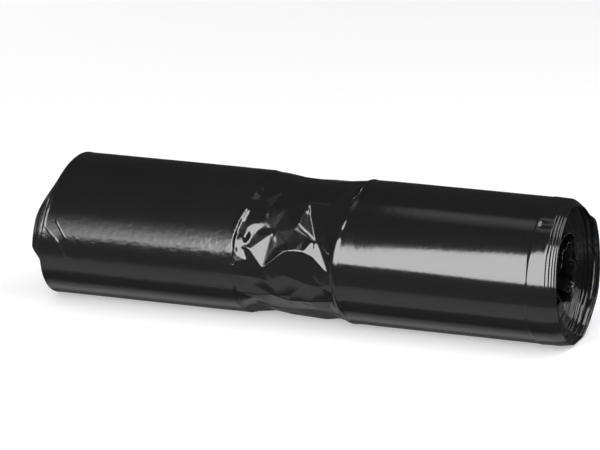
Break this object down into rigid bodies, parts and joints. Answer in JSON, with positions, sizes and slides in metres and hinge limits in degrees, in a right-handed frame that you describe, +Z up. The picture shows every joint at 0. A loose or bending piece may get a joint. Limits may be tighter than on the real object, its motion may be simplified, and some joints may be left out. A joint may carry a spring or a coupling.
{
  "type": "bin bag roll",
  "caption": "Coreless roll of black refuse sacks, folded from both sides into two thick drums with a slack, crumpled waist between them, lying on a small flat spot.",
  "frame": {"origin": "on the surface that the roll lies on, under the middle of its box", "axes": "+X along the roll towards the end with the wide ring of fold edges, +Z up, -Y towards the side that the picture shows"},
  "size_m": [0.4118, 0.1076, 0.1063],
  "materials": {
    "film": "glossy black film, slightly cloudy"
  },
  "bodies": {
    "root": {"bag_roll": "film"}
  },
  "joints": []
}
